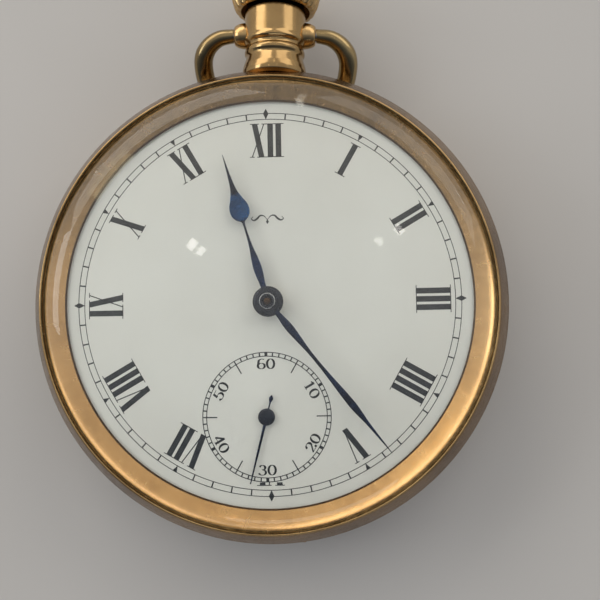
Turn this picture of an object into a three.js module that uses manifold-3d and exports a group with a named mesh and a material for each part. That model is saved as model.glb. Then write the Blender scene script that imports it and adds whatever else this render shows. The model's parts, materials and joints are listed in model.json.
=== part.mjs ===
// An open-face pocket watch: crown-wound, small seconds at 6, hinged back and inner cover, folding bow.
// Millimetres. +Z is the dial's outward normal, +Y runs to 12 o'clock, and the origin is the middle of
// the flat on the back, so the watch lies on its back with its dial up.
import * as THREE from "three";
import { mergeVertices } from "three/addons/utils/BufferGeometryUtils.js";
import Module from "manifold-3d";

const wasm = await Module();
wasm.setup();

// ---------------------------------------------------------------- driving dimensions
const CASE_R = 25; // half of the 50 mm case
const DIAL_TOP = 9.7;
const DIAL_THICK = 0.6;
const LIP_TOP = 11.7; // top of the bezel's lip
const MIDDLE = { bottom: 5.95, top: 8.3, bore: 21.0 };
const BACK = { flat: 8, rim: 24.6, rise: 5.9, power: 2.6, wall: 0.5 };
const STEM_Z = 7.0; // height of the pendant, the stem and the bow's pivots
const BOW_PIVOT_Y = 29.45;
const BOW = { wire: 1.05, pin: 0.6, half: 8.1, shoulder: 3.0, fold: 31.8 }; // fold in degrees below level
const PLATE = { r: 20.7, bottom: 7.4, top: 8.9 };
const BRIDGE = { r: 19.8, wall: 18.7, bottom: 3.9, top: 4.9 };
const ROUND = 36; // facets of a case-sized ring
const SMALL = 16; // facets of a small arbor or screw
const SLIVER = 0.004; // edges shorter than this are dropped

const DIAL_TURN = 1.8; // degrees that the dial's 12 sits anticlockwise of the pendant

// Centres of the movement's arbors, seen from the dial side.
const CENTRE = [0, 0];
const BARREL_AT = [7.8, 5.35];
const THIRD_AT = [-2.27, -6.36];
const FOURTH_AT = [0, -11.8];
const ESCAPE_AT = [-4.5, -13.58];
const PALLET_AT = [-6.27, -10.61];
const BALANCE_AT = [-10.2, -4.0];
const COCK_FOOT_AT = [-12.2, 8.4];
const CROWN_WHEEL_AT = [0, 12.4];
const MINUTE_WHEEL_AT = [-1.2, 3.39];
const SETTING_WHEEL_AT = [0, 7.42];
const IDLER_AT = [0, 10.28];
const CLICK_AT = [15.3, 8.1];
const YOKE_AT = [7.0, 10.8];
const LEVER_AT = [-5.2, 14.5];
const STUD_AT = [0, 18.2];
const BARREL_BRIDGE_SCREWS = [[17.6, -1.2], [-3.4, 17.2], [9.5, 15.6]];
const TRAIN_BRIDGE_SCREWS = [[16.2, -6.6], [7.6, -16.2]];

// The time that the hands show, in degrees clockwise from the dial's 12.
const HOUR_ANGLE = 343.6;
const MINUTE_ANGLE = 141.6;
const SECOND_ANGLE = 194.5;

// ---------------------------------------------------------------- materials
const finish = (color, roughness, metalness) =>
  new THREE.MeshStandardMaterial({ color, roughness, metalness });
const gold = finish(0xc9974f, 0.25, 1);
const brass = finish(0xc9a35c, 0.35, 1);
const nickel = finish(0xc9c4b6, 0.3, 1);
const steel = finish(0x9a9da3, 0.25, 1);
const bluedSteel = finish(0x18305c, 0.25, 1);
const enamel = finish(0xe6e8e2, 0.3, 0);
const ruby = finish(0xb01838, 0.15, 0);
const glass = finish(0xe8f0ee, 0.05, 0);
glass.transparent = true;
glass.opacity = 0.3;

// ---------------------------------------------------------------- solids
// A closed geometry as a solid: vertices merged by place, collapsed triangles dropped.
function solid(geometry) {
  const open = geometry.index ? geometry.toNonIndexed() : geometry;
  const bare = new THREE.BufferGeometry().setAttribute("position", open.getAttribute("position"));
  const merged = mergeVertices(bare, 1e-4);
  const kept = [];
  for (let i = 0; i < merged.index.count; i += 3) {
    const [a, b, c] = [0, 1, 2].map((k) => merged.index.getX(i + k));
    if (a !== b && b !== c && a !== c) kept.push(a, b, c);
  }
  const mesh = { numProp: 3, vertProperties: merged.attributes.position.array };
  return new wasm.Manifold(new wasm.Mesh({ ...mesh, triVerts: new Uint32Array(kept) }));
}

// A solid back as a geometry, without the slivers that cuts leave.
function geometryOf(body) {
  const mesh = body.simplify(SLIVER).getMesh();
  const geometry = new THREE.BufferGeometry();
  geometry.setAttribute("position", new THREE.BufferAttribute(mesh.vertProperties.slice(), 3));
  geometry.setIndex(new THREE.BufferAttribute(mesh.triVerts.slice(), 1));
  geometry.computeVertexNormals();
  return geometry;
}

const add = (...bodies) => bodies.reduce((sum, body) => sum.add(body));
const cut = (body, ...tools) => tools.reduce((left, tool) => left.subtract(tool), body);

// A ring or disc about Z from its closed section, a list of [radius, height] going round.
function turned(section, facets = ROUND) {
  const area = section.reduce((sum, [r, z], i) => {
    const [r2, z2] = section[(i + 1) % section.length];
    return sum + r * z2 - r2 * z;
  }, 0);
  const way = area > 0 ? section : [...section].reverse();
  const points = [...way, way[0]].map(([r, z]) => new THREE.Vector2(r, z));
  return solid(new THREE.LatheGeometry(points, facets).rotateX(Math.PI / 2));
}

// An upright cylinder from height low to high, with an optional smaller or larger top.
function drum([x, y], r, low, high, facets = SMALL, topR = r) {
  const geometry = new THREE.CylinderGeometry(topR, r, high - low, facets);
  return solid(geometry.rotateX(Math.PI / 2).translate(x, y, (low + high) / 2));
}

// A cylinder along Y from near to far, at the stem's height unless told otherwise.
function rod(r, near, far, facets = SMALL, z = STEM_Z, farR = r) {
  const geometry = new THREE.CylinderGeometry(farR, r, far - near, facets);
  return solid(geometry.translate(0, (near + far) / 2, z));
}

function block([x0, x1], [y0, y1], [z0, z1]) {
  const geometry = new THREE.BoxGeometry(x1 - x0, y1 - y0, z1 - z0);
  return solid(geometry.translate((x0 + x1) / 2, (y0 + y1) / 2, (z0 + z1) / 2));
}

// A flat outline, a list of [x, y], raised from height low to high.
function raised(outline, low, high) {
  const shape = new THREE.Shape(outline.map(([x, y]) => new THREE.Vector2(x, y)));
  const geometry = new THREE.ExtrudeGeometry(shape, { depth: high - low, bevelEnabled: false });
  return solid(geometry.translate(0, 0, low));
}

// The outline that joins two circles: a tapered arm with round ends.
function armOutline([x0, y0], r0, [x1, y1], r1, steps = 6) {
  const along = Math.atan2(y1 - y0, x1 - x0);
  const lean = Math.acos((r0 - r1) / Math.hypot(x1 - x0, y1 - y0));
  const outline = [];
  for (let i = 0; i <= steps; i++) {
    const a = along + lean + ((2 * Math.PI - 2 * lean) * i) / steps;
    outline.push([x0 + r0 * Math.cos(a), y0 + r0 * Math.sin(a)]);
  }
  for (let i = 0; i <= steps; i++) {
    const a = along - lean + (2 * lean * i) / steps;
    outline.push([x1 + r1 * Math.cos(a), y1 + r1 * Math.sin(a)]);
  }
  return outline;
}

// A wheel's toothed outline. tipShare is the width of a tooth's flat tip as a share of its pitch.
function toothed([x, y], teeth, rootR, tipR, tipShare = 0, turn = 0) {
  const outline = [];
  const pitch = (2 * Math.PI) / teeth;
  const at = (a, r) => outline.push([x + r * Math.cos(a), y + r * Math.sin(a)]);
  for (let i = 0; i < teeth; i++) {
    const a = i * pitch + turn;
    if (tipShare === 0) at(a, tipR);
    else {
      at(a - (tipShare * pitch) / 2, tipR);
      at(a + (tipShare * pitch) / 2, tipR);
    }
    at(a + pitch / 2, rootR);
  }
  return outline;
}

// The windows between the spokes of a wheel, as bodies to cut away.
function windows([x, y], count, innerR, outerR, spoke, low, high) {
  const tools = [];
  for (let i = 0; i < count; i++) {
    const middle = ((i + 0.5) * 2 * Math.PI) / count;
    const edge = (r) => Math.PI / count - Math.asin(spoke / 2 / r);
    const outline = [];
    for (const [r, way] of [[outerR, 1], [innerR, -1]]) {
      for (let k = -1; k <= 1; k++) {
        const a = middle + way * k * edge(r);
        outline.push([x + r * Math.cos(a), y + r * Math.sin(a)]);
      }
    }
    tools.push(raised(outline, low - 1, high + 1));
  }
  return tools;
}

// A spoked wheel with its pinion and its arbor in one piece. Each is [radius, low, high].
function wheelAndPinion(at, teeth, tipR, depth, [low, high], pinion, arbor, spokes = 4) {
  const rim = raised(toothed(at, teeth, tipR - depth, tipR), low, high);
  const open = cut(rim, ...windows(at, spokes, 1.1, tipR - depth - 0.7, 0.5, low, high));
  return add(open, drum(at, ...pinion, 12), drum(at, ...arbor, 8));
}

// A cheese-head screw seen from the back: head, shank and a straight slot.
function screw([x, y], headR, headLow, headHigh, shankTop, slotTurn = 0) {
  const slot = new THREE.BoxGeometry(headR * 3, headR * 0.28, 0.3).rotateZ(slotTurn);
  return cut(
    add(drum([x, y], headR, headLow, headHigh, 14), drum([x, y], headR * 0.35, headHigh - 0.01, shankTop, 8)),
    solid(slot.translate(x, y, headLow)),
  );
}

// ---------------------------------------------------------------- the watch
const watch = new THREE.Group();

function place(name, body, material, parent = watch) {
  const mesh = new THREE.Mesh(geometryOf(body), material);
  mesh.name = name;
  parent.add(mesh);
  return mesh;
}

// ---- case
// Height of the back's outer face at a radius: flat in the middle, then a dome to the rim.
function backHeight(r) {
  const share = Math.max(0, (r - BACK.flat) / (BACK.rim - BACK.flat));
  return BACK.rise * share ** BACK.power;
}

const HINGE = {
  back: { y: -24.75, z: 5.3 }, inner: { y: -21.5, z: 5.2 }, r: 0.8, small: 0.55, bore: 0.36, pin: 0.26,
};

// A knuckle, pin or clearance along X for one of the two hinges.
function barrelAlongX({ y, z }, r, x0, x1, facets = 12) {
  const geometry = new THREE.CylinderGeometry(r, r, x1 - x0, facets).rotateZ(Math.PI / 2);
  return solid(geometry.translate((x0 + x1) / 2, y, z));
}

function caseMiddle() {
  const ring = turned([
    [MIDDLE.bore, MIDDLE.bottom], [24.5, MIDDLE.bottom], [24.72, 6.35], [24.72, 7.9], [24.5, MIDDLE.top],
    [23.6, MIDDLE.top], [23.6, 8.95], [MIDDLE.bore, 8.95],
  ]);
  const stemHole = rod(1.75, 19, 26, 16);
  const back = HINGE.back;
  const inner = HINGE.inner;
  const reliefs = [
    barrelAlongX(back, HINGE.r + 0.15, -2.7, 2.7),
    barrelAlongX(inner, HINGE.small + 0.15, -1.6, 1.6),
  ];
  const lugs = [[-4.1, -2.8], [2.8, 4.1]].map(([x0, x1]) =>
    add(barrelAlongX(back, HINGE.r, x0, x1), block([x0, x1], [back.y, back.y + 0.7], [back.z, 6.6])),
  );
  const innerLugs = [[-2.9, -1.7], [1.7, 2.9]].map(([x0, x1]) =>
    add(
      barrelAlongX(inner, HINGE.small, x0, x1),
      block([x0, x1], [inner.y - 0.4, inner.y + 0.4], [inner.z, 6.4]),
    ),
  );
  const bores = [barrelAlongX(back, HINGE.bore, -5, 5), barrelAlongX(inner, HINGE.bore, -3.5, 3.5)];
  return cut(add(cut(ring, stemHole, ...reliefs), ...lugs, ...innerLugs), ...bores);
}

function backCover() {
  const shell = turned([
    ...[0, BACK.flat, 12, 16, 19.5, 22.4, BACK.rim - 0.05].map((r) => [r, backHeight(r)]),
    [BACK.rim, 5.85], [23.9, 5.85], [23.9, 5.45],
    ...[22.3, 19.4, 15.9, 11.9, BACK.flat, 0].map((r) => [r, backHeight(r) + BACK.wall]),
  ]);
  const hinge = HINGE.back;
  const reliefs = [[-4.3, -2.65], [2.65, 4.3]].map(([x0, x1]) => barrelAlongX(hinge, HINGE.r + 0.15, x0, x1));
  const knuckles = [barrelAlongX(hinge, HINGE.r, -2.55, 2.55)];
  const lip = solid(new THREE.BoxGeometry(3, 1.1, 0.35).translate(0, 24.85, 5.6).rotateZ(-0.62));
  return cut(add(cut(shell, ...reliefs), ...knuckles, lip), barrelAlongX(hinge, HINGE.bore, -5, 5));
}

function innerCover() {
  const low = (r) => backHeight(r) + BACK.wall + 0.3;
  const dish = turned([
    ...[0, 8, 13, 17, 20].map((r) => [r, low(r)]),
    [22.3, 5.45], [22.3, 5.8], [21.5, 5.8],
    ...[19.8, 16.8, 12.8, 8, 0].map((r) => [r, low(r) + 0.4]),
  ]);
  const hinge = HINGE.inner;
  const trimmed = cut(dish, block([-8, 8], [-24, hinge.y + 0.75], [3.5, 6.2]));
  const arm = block([-1.4, 1.4], [hinge.y + 0.05, hinge.y + 1.2], [4.4, 5.25]);
  const knuckle = barrelAlongX(hinge, HINGE.small, -1.4, 1.4);
  return cut(add(trimmed, arm, knuckle), barrelAlongX(hinge, HINGE.bore, -3.5, 3.5));
}

function bezel() {
  return turned([
    [24.15, 8.4], [24.85, 8.4], [CASE_R, 8.6], [CASE_R, 8.8], [24.55, 9.8],
    [23.65, 11.45], [23.45, LIP_TOP], [23.25, 11.6], [23.2, 10.95], [22.6, 10.65],
    [20.95, 9.95], [20.95, 9.85], [23.85, 9.85], [23.85, 9.05], [24.15, 9.05],
  ]);
}

function crystal() {
  return turned([
    [0, 12.75], [9, 12.55], [16, 12.05], [21.4, 11.2], [23.05, 11.0], [23.05, 11.4],
    [22.6, 12.05], [21.6, 12.65], [19, 13.15], [10, 13.7], [0, 13.9],
  ]);
}

function pendant() {
  const neck = [
    [0, 24.3], [3.3, 24.3], [3.45, 25.5], [3.35, 26.1], [3.05, 26.5], [3.1, 27.1], [3.35, 27.45],
    [3.35, 33.0], [3.1, 33.2], [0, 33.2],
  ];
  const points = neck.map(([r, y]) => new THREE.Vector2(r, y));
  const body = solid(new THREE.LatheGeometry(points, 24).translate(0, 0, STEM_Z));
  const ballGeometry = new THREE.SphereGeometry(1.35, 14, 8).rotateZ(Math.PI / 2);
  const balls = [-1, 1].map((side) =>
    solid(ballGeometry.clone().scale(1.1, 1, 1).translate(side * 3.3, BOW_PIVOT_Y, STEM_Z)),
  );
  const tube = new THREE.CylinderGeometry(BOW.pin + 0.08, BOW.pin + 0.08, 1.6, 12).rotateZ(Math.PI / 2);
  const sockets = [-1, 1].map((side) => solid(tube.clone().translate(side * 4.5, BOW_PIVOT_Y, STEM_Z)));
  const saddle = turned([[0, 0], [24.85, 0], [24.85, 8.2], [25.25, 8.2], [25.25, 14], [0, 14]]);
  return cut(add(body, ...balls), ...sockets, rod(1.6, 24, 34, 16), saddle);
}

// The bow's centre line in its own plane: out of one socket, round the shoulder, round the loop and back.
function bowLine() {
  const line = [];
  const start = 4.75;
  const corner = (turn) => [
    start + (BOW.half - start) * Math.sin(turn),
    BOW.shoulder * (1 - Math.cos(turn)),
  ];
  for (let i = 1; i <= 3; i++) line.push(corner((i * Math.PI) / 8));
  const steps = 16;
  for (let i = 0; i <= steps; i++) {
    const a = (i * Math.PI) / steps;
    line.push([BOW.half * Math.cos(a), BOW.shoulder + BOW.half * Math.sin(a)]);
  }
  for (let i = 3; i >= 1; i--) {
    const [x, s] = corner((i * Math.PI) / 8);
    line.push([-x, s]);
  }
  return line;
}

function bow() {
  const points = bowLine().map(([x, s]) => new THREE.Vector3(x, -s, 0));
  const ends = [new THREE.Vector3(4.85, 0, 0), new THREE.Vector3(-4.85, 0, 0)];
  const path = new THREE.CatmullRomCurve3([ends[0], ...points, ends[1]], false, "centripetal");
  const section = new THREE.Shape().absarc(0, 0, BOW.wire, 0, 2 * Math.PI);
  const wire = new THREE.ExtrudeGeometry(section, {
    steps: 32, extrudePath: path, curveSegments: 4, bevelEnabled: false,
  });
  const pin = new THREE.CylinderGeometry(BOW.pin, BOW.pin, 1.2, 12).rotateZ(Math.PI / 2);
  const pins = [-1, 1].map((side) => solid(pin.clone().translate(side * 4.5, 0, 0)));
  return add(solid(wire), ...pins);
}

function crown() {
  const section = [
    [0, 34.1], [3.65, 34.1], [3.65, 32.0], [4.25, 32.0], [4.75, 32.9], [5.0, 34.2], [5.0, 35.2], [4.5, 37.0],
    [3.4, 38.1], [0, 38.65],
  ];
  const points = section.map(([r, y]) => new THREE.Vector2(r, y));
  return solid(new THREE.LatheGeometry(points, 32).translate(0, 0, STEM_Z));
}

function windingStem() {
  const square = solid(new THREE.BoxGeometry(0.8, 5.5, 0.8).translate(0, 13.25, STEM_Z));
  return add(rod(0.42, 9.6, 10.6, 10), square, rod(0.62, 15.9, 33.9, 12));
}

// ---- dial and hands
function dial() {
  const plate = turned([[0, DIAL_TOP - DIAL_THICK], [21.9, DIAL_TOP - DIAL_THICK], [21.9, DIAL_TOP], [0, DIAL_TOP]]);
  const feet = [[-15.5, 9.5], [15.5, 9.5], [9, -15.6]].map((at) => drum(at, 0.45, 8.1, 9.2, 10));
  return add(cut(plate, drum(CENTRE, 1.25, 9, 10, 16), drum(FOURTH_AT, 0.45, 9, 10, 12)), ...feet);
}

// A hand's outline along +Y from pairs of [distance, half width], mirrored about its line.
function handOutline(stations) {
  return [...stations.map(([s, w]) => [w, s]), ...[...stations].reverse().map(([s, w]) => [-w, s])];
}

const HOUR_STATIONS = [
  [1.2, 0.3], [2.0, 0.3], [3.0, 0.4], [4.2, 0.42], [5.2, 0.3], [6.0, 0.16], [8.55, 0.12], [8.8, 0.5], [9.2, 0.9],
  [9.7, 1.1], [10.3, 1.1], [10.9, 0.85], [11.6, 0.5], [12.2, 0.28], [13.4, 0.15], [15.95, 0.05],
];
const MINUTE_STATIONS = [
  [1.2, 0.25], [2.0, 0.28], [3.2, 0.42], [4.4, 0.42], [6.2, 0.27], [8.8, 0.17], [10.4, 0.22], [12.2, 0.36],
  [13.6, 0.4], [14.9, 0.28], [15.8, 0.12], [19.65, 0.05],
];

function hand(stations, low, high, hubR, boreR, hubHigh) {
  const blade = raised(handOutline(stations), low, high);
  return cut(add(blade, drum(CENTRE, hubR, low, hubHigh, 24)), drum(CENTRE, boreR, low - 1, hubHigh + 1, 16));
}

function secondHand() {
  const blade = raised(handOutline([[0, 0.12], [6.95, 0.06]]), 10.0, 10.12);
  const tail = raised(handOutline([[-2.3, 0.02], [-2.0, 0.2], [-1.6, 0.07], [0, 0.1]]), 10.0, 10.12);
  return add(blade, tail, drum(CENTRE, 0.9, 9.92, 10.3, 20), drum(CENTRE, 0.3, 9.85, 10.0, 10));
}

function turnedHand(name, body, degrees, [x, y] = CENTRE) {
  const holder = new THREE.Group();
  holder.position.set(x, y, 0);
  holder.rotation.z = -THREE.MathUtils.degToRad(degrees - DIAL_TURN);
  watch.add(holder);
  place(name, body, bluedSteel, holder);
}

// ---- motion work, under the dial
const cannonPinion = () =>
  cut(
    add(drum(CENTRE, 0.95, 8.1, 8.75, 12), drum(CENTRE, 0.62, 8.7, 11.95, 16), drum(CENTRE, 0.78, 11.6, 11.95, 16)),
    drum(CENTRE, 0.36, 8, 12.2, 12),
  );
const hourWheel = () =>
  cut(
    add(raised(toothed(CENTRE, 40, 2.7, 2.95), 8.8, 8.98), drum(CENTRE, 1.0, 8.85, 10.75, 20)),
    drum(CENTRE, 0.74, 8.7, 10.9, 16),
  );
const minuteWheel = () =>
  add(raised(toothed(MINUTE_WHEEL_AT, 36, 2.35, 2.58), 8.15, 8.35), drum(MINUTE_WHEEL_AT, 0.5, 8.3, 8.97, 10));
const settingWheel = () => raised(toothed(SETTING_WHEEL_AT, 20, 1.2, 1.38), 8.15, 8.35);
const settingIdler = () => raised(toothed(IDLER_AT, 24, 1.46, 1.62, 0, Math.PI / 24), 8.15, 8.35);

// ---- plates, bridges and cocks
function mainPlate() {
  const disc = drum(CENTRE, PLATE.r, PLATE.bottom, PLATE.top, ROUND);
  const motionRecess = add(drum(CENTRE, 4.4, 8.05, 9.5, 28), block([-3.9, 1.9], [1, 9.6], [8.05, 9.5]));
  const stemSlot = block([-1.85, 1.85], [9.35, 22], [7, 9.5]);
  const holes = [CENTRE, FOURTH_AT].map((at) => drum(at, 0.45, 7, 9.5, 12));
  const pivots = [THIRD_AT, ESCAPE_AT, PALLET_AT, BALANCE_AT, BARREL_AT].map((at) => drum(at, 0.3, 7, 8, 8));
  const feetHoles = [[-15.5, 9.5], [15.5, 9.5], [9, -15.6]].map((at) => drum(at, 0.6, 8, 9.5, 10));
  const keylessRecess = block([-6.6, 8.4], [8.8, 19.4], [8.35, 9.5]);
  return cut(disc, motionRecess, keylessRecess, stemSlot, ...holes, ...pivots, ...feetHoles);
}

// ---- keyless work, in its recess under the dial
const yoke = () => raised(armOutline(YOKE_AT, 1.0, [1.2, 13.9], 0.45), 8.5, 8.8);
const settingLever = () => raised(armOutline(LEVER_AT, 1.2, STUD_AT, 0.5), 8.5, 8.8);
const settingStud = () => drum(STUD_AT, 0.45, 7.72, 8.4, 12);

// ---- jewels
function jewel(at, low, high) {
  return cut(drum(at, 0.8, low, high, 14), drum(at, 0.32, low - 1, high + 1, 8));
}

// The room for a sunk screw: its head's recess and the hole for its shank.
const screwSeat = (at) => add(drum(at, 1.1, 3, 4.4, 14), drum(at, 0.5, 3, 8, 8));

// A bridge: its share of the disc, cut to an outline, with a wall at the edge and a post round each
// screw that stand on the main plate.
function bridge(outline, screws, ...tools) {
  const { r, wall, bottom, top } = BRIDGE;
  const foot = PLATE.bottom - 0.05;
  const deck = drum(CENTRE, r, bottom, top, ROUND);
  const edge = cut(drum(CENTRE, r, top - 0.01, foot, ROUND), drum(CENTRE, wall, 0, 9, ROUND));
  const posts = screws.map((at) => drum(at, 1.3, top - 0.01, foot, 12));
  return cut(add(deck, edge, ...posts).intersect(raised(outline, 0, 12)), ...screws.map(screwSeat), ...tools);
}

const balanceRoom = () => drum(BALANCE_AT, 7.75, 0, 12, 32);

function barrelBridge() {
  const outline = [[-5.2, 21], [-5.2, 4.5], [-2.6, -3.1], [21, -3.1], [21, 21]];
  const holes = [CENTRE, BARREL_AT].map((at) => drum(at, at === CENTRE ? 0.9 : 1.35, 3, 6, 14));
  const crownWheelHole = drum(CROWN_WHEEL_AT, 1.75, 3, 6, 18);
  const stemSlot = block([-2.0, 2.0], [17.6, 21], [5.3, 8]);
  return bridge(outline, BARREL_BRIDGE_SCREWS, balanceRoom(), ...holes, crownWheelHole, stemSlot);
}

function trainBridge() {
  const outline = [[-3.4, -3.5], [21, -3.5], [21, -21], [-9.5, -21], [-6.6, -12.4]];
  const holes = [THIRD_AT, FOURTH_AT, ESCAPE_AT].map((at) => drum(at, 0.9, 3, 6, 14));
  return bridge(outline, TRAIN_BRIDGE_SCREWS, balanceRoom(), ...holes);
}

function balanceCock() {
  const arm = raised(armOutline(COCK_FOOT_AT, 3.1, BALANCE_AT, 2.1), 3.05, 3.85);
  const foot = drum(COCK_FOOT_AT, 3.1, 3.84, PLATE.bottom - 0.05, 24);
  return cut(add(arm, foot), drum(BALANCE_AT, 0.95, 2, 5, 14));
}

function palletBridge() {
  const outer = [-11.2, -14.0];
  const deck = raised(armOutline(outer, 1.7, PALLET_AT, 1.15), 5.2, 5.75);
  return cut(add(deck, drum(outer, 1.6, 5.7, PLATE.bottom - 0.05, 16)), drum(PALLET_AT, 0.35, 5, 6, 10));
}

// ---- barrel and winding work
function barrel() {
  const teeth = raised(toothed(BARREL_AT, 80, 8.25, 8.5), 6.6, 7.0);
  const drumBody = drum(BARREL_AT, 8.0, 5.6, 7.25, 32);
  return cut(add(teeth, drumBody), drum(BARREL_AT, 7.65, 5.0, 7.0, 32), drum(BARREL_AT, 1.0, 5, 8, 12));
}
const barrelLid = () => cut(drum(BARREL_AT, 7.5, 5.62, 5.82, 32), drum(BARREL_AT, 1.0, 5, 6, 12));

function mainspring() {
  const turns = 5;
  const perTurn = 12;
  const at = (i, side) => {
    const r = 2.1 + ((7.3 - 2.1) * i) / (turns * perTurn) + side * 0.1;
    const a = (i * 2 * Math.PI) / perTurn;
    return [BARREL_AT[0] + r * Math.cos(a), BARREL_AT[1] + r * Math.sin(a)];
  };
  const outline = [];
  for (let i = 0; i <= turns * perTurn; i++) outline.push(at(i, 1));
  for (let i = turns * perTurn; i >= 0; i--) outline.push(at(i, -1));
  return raised(outline, 5.95, 6.9);
}

const barrelArbor = () => add(drum(BARREL_AT, 0.9, 3.9, 7.35, 12), drum(BARREL_AT, 1.6, 5.9, 6.9, 16));

const RATCHET = { low: 3.3, high: 3.82, teeth: 48, pitchR: 6.3 };
const CROWN_WHEEL = { teeth: 32, pitchR: 4.2 };
const TOOTH = { tip: 0.05, root: 0.16 };

function ratchetWheel() {
  const { low, high, teeth, pitchR } = RATCHET;
  const toward = Math.atan2(CROWN_WHEEL_AT[1] - BARREL_AT[1], CROWN_WHEEL_AT[0] - BARREL_AT[0]);
  const outline = toothed(BARREL_AT, teeth, pitchR - TOOTH.root, pitchR + TOOTH.tip, 0.3, toward);
  const square = raised([[-0.6, -0.6], [0.6, -0.6], [0.6, 0.6], [-0.6, 0.6]], 2.5, 4.5);
  return cut(raised(outline, low, high), square.translate([BARREL_AT[0], BARREL_AT[1], 0]));
}

function crownWheel() {
  const { teeth, pitchR } = CROWN_WHEEL;
  const toward = Math.atan2(BARREL_AT[1] - CROWN_WHEEL_AT[1], BARREL_AT[0] - CROWN_WHEEL_AT[0]);
  const turn = toward + Math.PI / teeth;
  const outline = toothed(CROWN_WHEEL_AT, teeth, pitchR - TOOTH.root, pitchR + TOOTH.tip, 0.3, turn);
  const gear = raised(outline, RATCHET.low, RATCHET.high);
  const hub = drum(CROWN_WHEEL_AT, 1.55, RATCHET.high - 0.01, 5.05, 16);
  const contrate = raised(toothed(CROWN_WHEEL_AT, 24, 3.45, 3.75), 5.0, 5.4);
  return cut(add(gear, hub, contrate), drum(CROWN_WHEEL_AT, 0.75, 3, 4.6, 12));
}

function click() {
  const beak = raised([[15.0, 8.9], [13.78, 7.9], [15.1, 7.3]], RATCHET.low, RATCHET.high);
  const body = add(drum(CLICK_AT, 1.0, RATCHET.low, RATCHET.high, 16), beak);
  return cut(body, drum(CLICK_AT, 0.42, 3, 4.2, 10));
}

function clickSpring() {
  const centre = [12.9, 4.1];
  const outline = [];
  const sweep = (r, from, to) => {
    for (let i = 0; i <= 8; i++) {
      const a = from + ((to - from) * i) / 8;
      outline.push([centre[0] + r * Math.cos(a), centre[1] + r * Math.sin(a)]);
    }
  };
  sweep(4.1, -0.9, 0.55);
  sweep(3.85, 0.55, -0.9);
  return add(raised(outline, 3.45, 3.8), drum([15.45, 1.0], 0.75, 3.45, 3.82, 12));
}

const windingPinion = () => cut(rod(1.45, 15.35, 17.2, 14), rod(0.78, 15, 18, 12));
const slidingPinion = () => cut(rod(1.25, 12.9, 15.0, 14), block([-0.46, 0.46], [12, 16], [6.54, 7.46]));

// ---- going train
const centreWheel = () =>
  wheelAndPinion(CENTRE, 80, 6.15, 0.25, [5.12, 5.32], [0.62, 5.3, 7.2], [0.3, 4.0, 8.05]);
const thirdWheel = () =>
  wheelAndPinion(THIRD_AT, 75, 5.3, 0.22, [6.58, 6.78], [0.5, 5.05, 6.6], [0.2, 4.0, 7.9]);
const fourthWheel = () =>
  wheelAndPinion(FOURTH_AT, 80, 4.45, 0.2, [5.5, 5.68], [0.45, 5.66, 7.1], [0.2, 4.0, 9.8]);

function escapeWheel() {
  const [x, y] = ESCAPE_AT;
  const outline = [];
  for (let i = 0; i < 15; i++) {
    const a = (i * 2 * Math.PI) / 15 + 0.1;
    for (const [r, turn] of [[2.95, 0], [2.3, 0.06], [2.15, 0.2], [2.3, 0.33]])
      outline.push([x + r * Math.cos(a + turn), y + r * Math.sin(a + turn)]);
  }
  const rim = cut(raised(outline, 6.28, 6.44), ...windows(ESCAPE_AT, 4, 0.75, 1.8, 0.4, 6.28, 6.44));
  return add(rim, drum(ESCAPE_AT, 0.34, 5.3, 6.3, 10), drum(ESCAPE_AT, 0.15, 4.0, 7.9, 8));
}

// Unit vectors along the lever, from the escape wheel to the balance, and across it.
const LEVER = (() => {
  const [dx, dy] = [BALANCE_AT[0] - ESCAPE_AT[0], BALANCE_AT[1] - ESCAPE_AT[1]];
  const length = Math.hypot(dx, dy);
  return { along: [dx / length, dy / length], across: [-dy / length, dx / length] };
})();
const leverPoint = (s, c) => [0, 1].map((k) => PALLET_AT[k] + s * LEVER.along[k] + c * LEVER.across[k]);

function palletFork() {
  const outline = [
    [-1.55, 3.0], [-0.75, 3.05], [-0.2, 1.0], [0.45, 0.32], [5.1, 0.22], [5.5, 0.85], [6.1, 0.75], [6.0, 0.3],
    [5.45, 0.2], [5.45, -0.2], [6.0, -0.3], [6.1, -0.75], [5.5, -0.85], [5.1, -0.22], [0.45, -0.32], [-0.2, -1.0],
    [-0.75, -3.05], [-1.55, -3.0], [-0.3, -0.6], [-0.3, 0.6],
  ].map(([s, c]) => leverPoint(s, c)).reverse();
  return add(raised(outline, 6.25, 6.5), drum(PALLET_AT, 0.18, 5.35, 7.9, 8));
}

function balanceWheel() {
  const rim = cut(drum(BALANCE_AT, 7.2, 4.35, 5.0, 36), drum(BALANCE_AT, 6.35, 4, 5.5, 36));
  const [x, y] = BALANCE_AT;
  const arm = raised(armOutline([x - 6.5, y], 0.45, [x + 6.5, y], 0.4), 4.5, 4.8);
  const staff = add(drum(BALANCE_AT, 0.22, 3.4, 7.9, 8), drum(BALANCE_AT, 0.8, 4.3, 5.1, 14));
  const roller = drum(BALANCE_AT, 1.9, 5.75, 5.98, 20);
  return add(rim, arm, staff, roller, drum(leverPoint(5.72, 0), 0.13, 5.97, 6.18, 8));
}

function hairspring() {
  const turns = 5;
  const perTurn = 12;
  const at = (i, side) => {
    const r = 0.85 + (3.7 * i) / (turns * perTurn) + side * 0.06;
    const a = (i * 2 * Math.PI) / perTurn + 1.2;
    return [BALANCE_AT[0] + r * Math.cos(a), BALANCE_AT[1] + r * Math.sin(a)];
  };
  const outline = [];
  for (let i = 0; i <= turns * perTurn; i++) outline.push(at(i, 1));
  for (let i = turns * perTurn; i >= 0; i--) outline.push(at(i, -1));
  return raised(outline, 3.95, 4.2);
}

function regulator() {
  const tip = [BALANCE_AT[0] + 4.6, BALANCE_AT[1] + 2.4];
  const index = raised(armOutline(BALANCE_AT, 1.5, tip, 0.25), 2.75, 2.98);
  return cut(index, drum(BALANCE_AT, 0.95, 2, 4, 14));
}

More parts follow.
